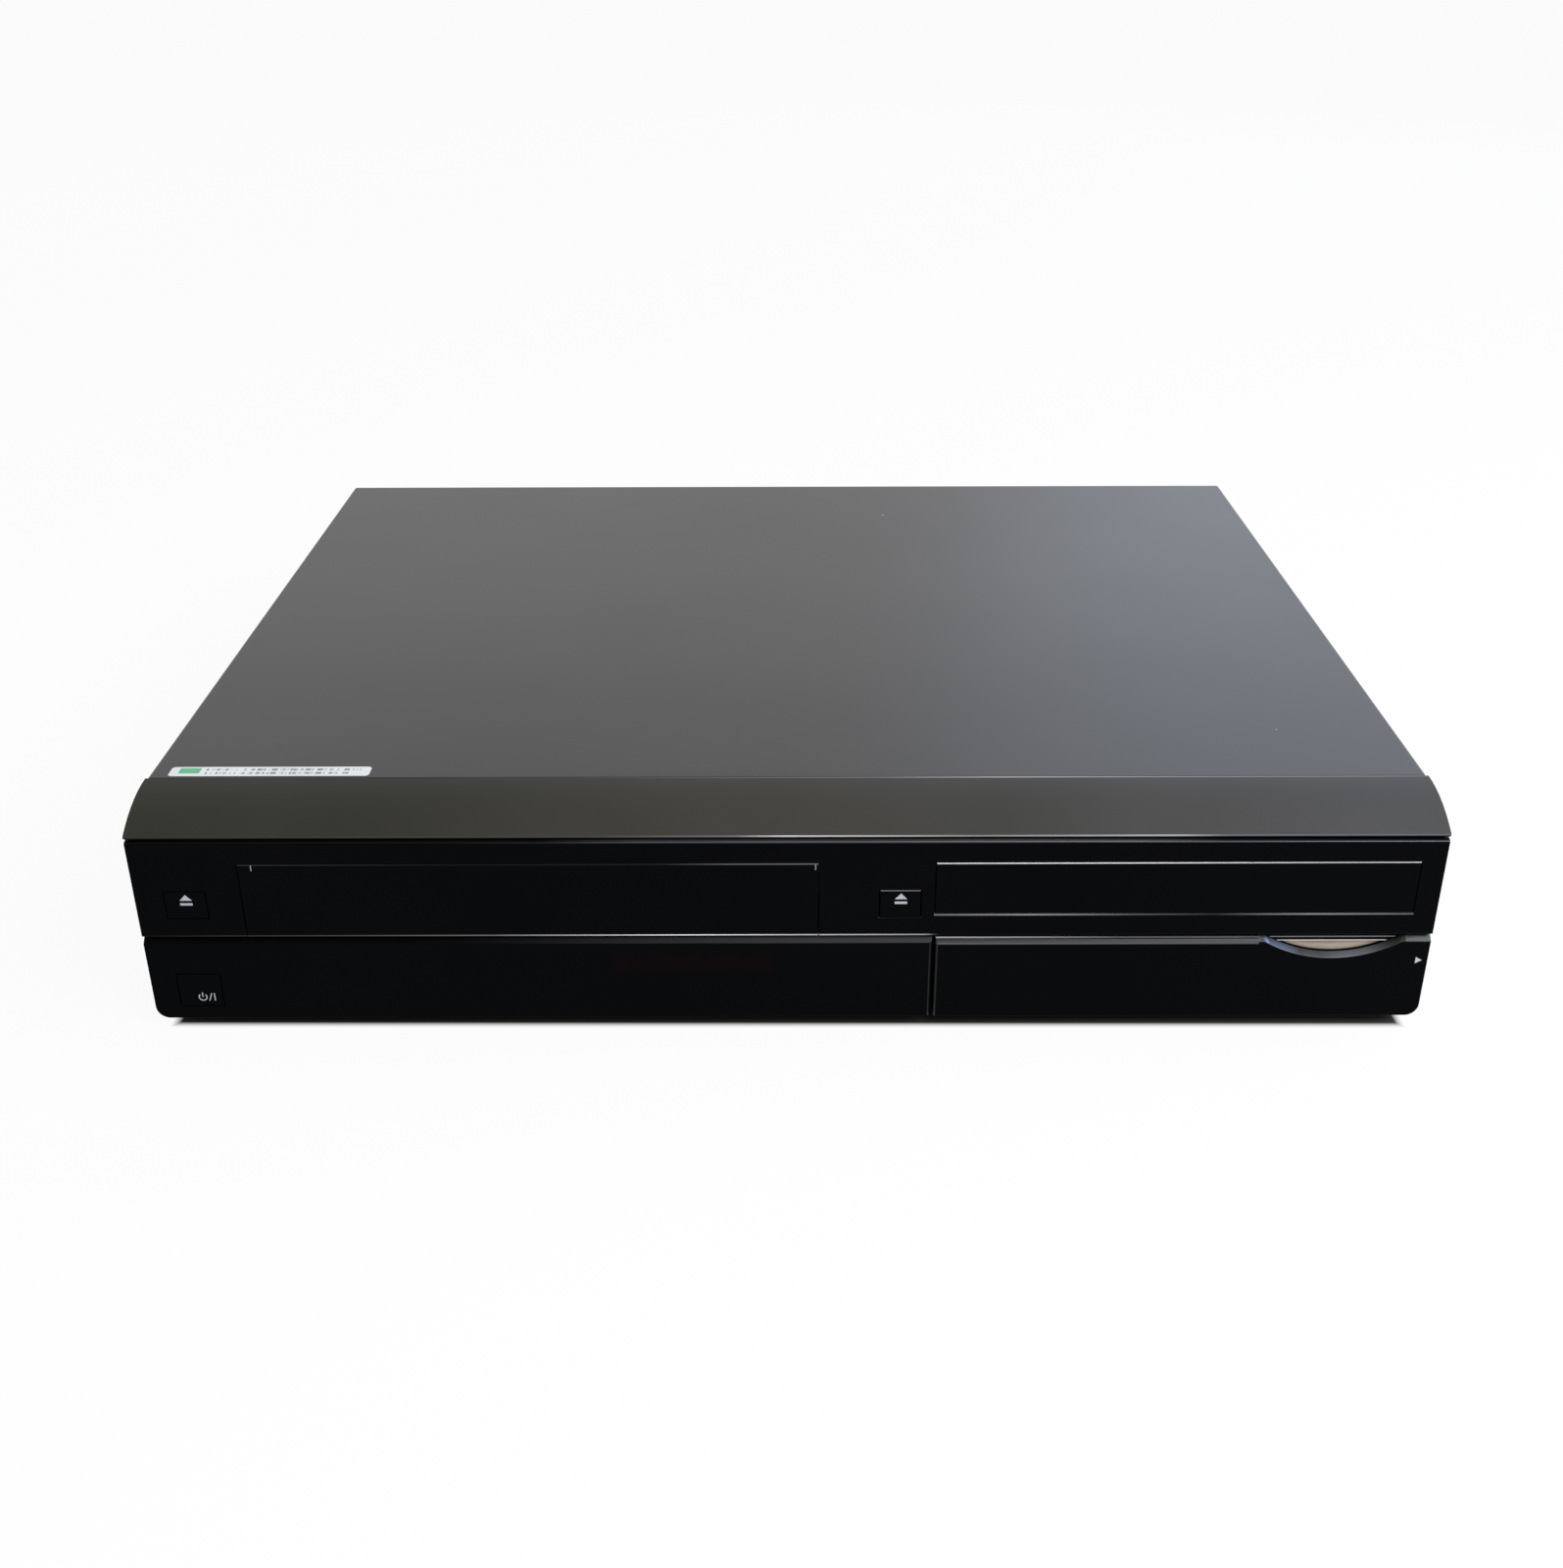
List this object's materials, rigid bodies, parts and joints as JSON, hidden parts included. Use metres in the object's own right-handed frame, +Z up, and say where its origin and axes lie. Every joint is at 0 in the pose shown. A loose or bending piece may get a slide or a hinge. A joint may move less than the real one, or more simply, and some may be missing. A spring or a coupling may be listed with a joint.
{
  "type": "disc and tape recorder",
  "caption": "Wide low home recorder with a sliding disc tray, a cassette deck behind an inward flap, a hard disk, and a fold-down door over sockets and keys.",
  "frame": {"origin": "centre of the bounding box in X and Y, on the table surface under the feet", "axes": "X runs to the right seen from the front, the front faces -Y, Z is up"},
  "size_m": [0.4314, 0.354, 0.083],
  "materials": {
    "black_gloss": "glossy black moulding",
    "black_plastic": "matt black moulding",
    "cover_paint": "satin baked paint on sheet steel",
    "trim_metal": "dark anodised strip",
    "plated_steel": "zinc plated sheet steel",
    "board_green": "glass fibre circuit board",
    "board_tan": "paper laminate circuit board",
    "dark_glass": "display tube glass",
    "white_plastic": "self-lubricating white moulding",
    "bright_steel": "polished steel",
    "cast_aluminium": "cast and machined aluminium",
    "black_rubber": "moulded rubber",
    "cable_white": "flat cable insulation"
  },
  "bodies": {
    "case": {"base_chassis": "plated_steel", "rear_panel": "plated_steel", "top_cover": "cover_paint", "front_bezel": "black_gloss", "sloped_trim": "trim_metal", "display_panel": "black_gloss", "feet": "black_plastic", "screws": "plated_steel", "front_board": "board_green", "display_tube": "dark_glass", "front_av_sockets": "black_plastic", "front_digital_sockets": "plated_steel", "deck_plate": "plated_steel", "cassette_guide_frame": "plated_steel", "drum_base": "cast_aluminium", "erase_head": "cast_aluminium", "audio_head": "cast_aluminium", "capstan_motor": "board_green", "drive_case": "plated_steel", "drive_lid": "plated_steel", "tray_motor": "plated_steel", "hard_disk": "cast_aluminium", "hard_disk_bracket": "plated_steel", "main_board": "board_green", "power_board": "board_tan", "mains_inlet": "black_plastic", "tuner_module": "plated_steel", "rear_av_sockets": "black_plastic", "rear_digital_sockets": "plated_steel", "fan_frame": "black_plastic", "ribbon_cables": "cable_white"},
    "front_door": {"front_door": "black_gloss"},
    "cassette_flap": {"cassette_flap": "black_gloss"},
    "power_button": {"power_button": "black_gloss"},
    "tape_eject_button": {"tape_eject_button": "black_gloss"},
    "disc_open_button": {"disc_open_button": "black_gloss"},
    "rec_key": {"rec_key": "black_plastic"},
    "stop_key": {"stop_key": "black_plastic"},
    "channel_down_key": {"channel_down_key": "black_plastic"},
    "channel_up_key": {"channel_up_key": "black_plastic"},
    "tray": {"disc_tray": "black_plastic", "tray_front": "black_gloss"},
    "tray_drive_gear": {"tray_drive_gear": "white_plastic"},
    "tray_motor_pinion": {"tray_motor_pinion": "white_plastic"},
    "traverse": {"traverse_frame": "black_plastic"},
    "turntable": {"turntable": "black_plastic"},
    "pickup_sled": {"pickup_sled": "black_plastic"},
    "lead_screw": {"lead_screw": "bright_steel"},
    "clamp_puck": {"clamp_puck": "black_plastic"},
    "cassette_carriage": {"cassette_carriage": "plated_steel"},
    "cassette_holder": {"cassette_holder": "plated_steel"},
    "head_drum": {"head_drum": "cast_aluminium"},
    "supply_guide_carriage": {"supply_guide_carriage": "white_plastic"},
    "takeup_guide_carriage": {"takeup_guide_carriage": "white_plastic"},
    "capstan": {"capstan": "bright_steel"},
    "pinch_arm": {"pinch_arm": "plated_steel"},
    "pinch_roller": {"pinch_roller": "black_rubber"},
    "supply_reel": {"supply_reel": "white_plastic"},
    "takeup_reel": {"takeup_reel": "white_plastic"},
    "fan_rotor": {"fan_rotor": "black_plastic"}
  },
  "joints": [
    {"name": "door_hinge", "type": "hinge", "parent": "case", "child": "front_door", "pos_m": [0.133, -0.1724, 0.008], "axis": [1, 0, 0], "range_deg": [0, 90]},
    {"name": "flap_hinge", "type": "hinge", "parent": "case", "child": "cassette_flap", "pos_m": [-0.0846, -0.1744, 0.0655], "axis": [1, 0, 0], "range_deg": [0, 88], "stiffness_Nm_per_rad": 0.004, "springref_deg": -28.65},
    {"name": "power_button_press", "type": "slide", "parent": "case", "child": "power_button", "axis": [0, 1, 0], "range_m": [0, 0.0008], "stiffness_N_per_m": 600},
    {"name": "tape_eject_button_press", "type": "slide", "parent": "case", "child": "tape_eject_button", "axis": [0, 1, 0], "range_m": [0, 0.0008], "stiffness_N_per_m": 600},
    {"name": "disc_open_button_press", "type": "slide", "parent": "case", "child": "disc_open_button", "axis": [0, 1, 0], "range_m": [0, 0.0008], "stiffness_N_per_m": 600},
    {"name": "rec_key_press", "type": "slide", "parent": "case", "child": "rec_key", "axis": [0, 1, 0], "range_m": [0, 0.0008], "stiffness_N_per_m": 600},
    {"name": "stop_key_press", "type": "slide", "parent": "case", "child": "stop_key", "axis": [0, 1, 0], "range_m": [0, 0.0008], "stiffness_N_per_m": 600},
    {"name": "channel_down_key_press", "type": "slide", "parent": "case", "child": "channel_down_key", "axis": [0, 1, 0], "range_m": [0, 0.0008], "stiffness_N_per_m": 600},
    {"name": "channel_up_key_press", "type": "slide", "parent": "case", "child": "channel_up_key", "axis": [0, 1, 0], "range_m": [0, 0.0008], "stiffness_N_per_m": 600},
    {"name": "tray_slide", "type": "slide", "parent": "case", "child": "tray", "axis": [0, -1, 0], "range_m": [0, 0.133]},
    {"name": "tray_gear_spin", "type": "hinge", "parent": "case", "child": "tray_drive_gear", "pos_m": [0.081, -0.139, 0.0489], "axis": [0, 0, 1], "range_deg": [0, 765]},
    {"name": "tray_pinion_spin", "type": "hinge", "parent": "case", "child": "tray_motor_pinion", "pos_m": [0.096, -0.139, 0.0489], "axis": [0, 0, 1], "range_deg": [-1530, 0]},
    {"name": "traverse_tilt", "type": "hinge", "parent": "case", "child": "traverse", "pos_m": [0.128, 0.011, 0.046], "axis": [1, 0, 0], "range_deg": [0, 2.6]},
    {"name": "disc_spindle", "type": "hinge", "parent": "traverse", "child": "turntable", "pos_m": [0.128, -0.105, 0.0549], "axis": [0, 0, 1], "continuous": true},
    {"name": "sled_feed", "type": "slide", "parent": "traverse", "child": "pickup_sled", "axis": [0, 1, 0], "range_m": [0, 0.033]},
    {"name": "lead_screw_spin", "type": "hinge", "parent": "traverse", "child": "lead_screw", "pos_m": [0.1615, -0.049, 0.0459], "axis": [0, 1, 0], "range_deg": [0, 3970]},
    {"name": "clamp_spin", "type": "hinge", "parent": "case", "child": "clamp_puck", "pos_m": [0.128, -0.105, 0.0674], "axis": [0, 0, 1], "continuous": true},
    {"name": "carriage_slide", "type": "slide", "parent": "case", "child": "cassette_carriage", "axis": [0, 1, 0], "range_m": [0, 0.08]},
    {"name": "holder_drop", "type": "slide", "parent": "cassette_carriage", "child": "cassette_holder", "axis": [0, 0, -1], "range_m": [0, 0.016]},
    {"name": "drum_spin", "type": "hinge", "parent": "case", "child": "head_drum", "pos_m": [-0.0846, 0.039, 0.02], "axis": [0, 0.1045, 0.9945], "continuous": true},
    {"name": "supply_guide_load", "type": "slide", "parent": "case", "child": "supply_guide_carriage", "axis": [-0.4061, 0.9138, 0], "range_m": [0, 0.049]},
    {"name": "takeup_guide_load", "type": "slide", "parent": "case", "child": "takeup_guide_carriage", "axis": [0.4061, 0.9138, 0], "range_m": [0, 0.049]},
    {"name": "capstan_spin", "type": "hinge", "parent": "case", "child": "capstan", "pos_m": [-0.0246, 0.009, 0.01], "axis": [0, 0, 1], "continuous": true},
    {"name": "pinch_arm_swing", "type": "hinge", "parent": "case", "child": "pinch_arm", "pos_m": [-0.0046, 0.029, 0.0314], "axis": [0, 0, 1], "range_deg": [0, 30]},
    {"name": "pinch_roller_spin", "type": "hinge", "parent": "pinch_arm", "child": "pinch_roller", "pos_m": [-0.02441, 0.02629, 0.0396], "axis": [0, 0, 1], "continuous": true},
    {"name": "supply_reel_spin", "type": "hinge", "parent": "case", "child": "supply_reel", "pos_m": [-0.1306, -0.059, 0.0196], "axis": [0, 0, 1], "continuous": true},
    {"name": "takeup_reel_spin", "type": "hinge", "parent": "case", "child": "takeup_reel", "pos_m": [-0.0386, -0.059, 0.0196], "axis": [0, 0, 1], "continuous": true},
    {"name": "fan_spin", "type": "hinge", "parent": "case", "child": "fan_rotor", "pos_m": [-0.029, 0.1591, 0.043], "axis": [0, 1, 0], "continuous": true}
  ],
  "couplings": [
    {"joint": "tray_gear_spin", "follows": "tray_slide", "rad_per_m": 100},
    {"joint": "tray_pinion_spin", "follows": "tray_slide", "rad_per_m": -200},
    {"joint": "lead_screw_spin", "follows": "sled_feed", "rad_per_m": 2094.4},
    {"joint": "takeup_guide_load", "follows": "supply_guide_load", "ratio": 1}
  ]
}
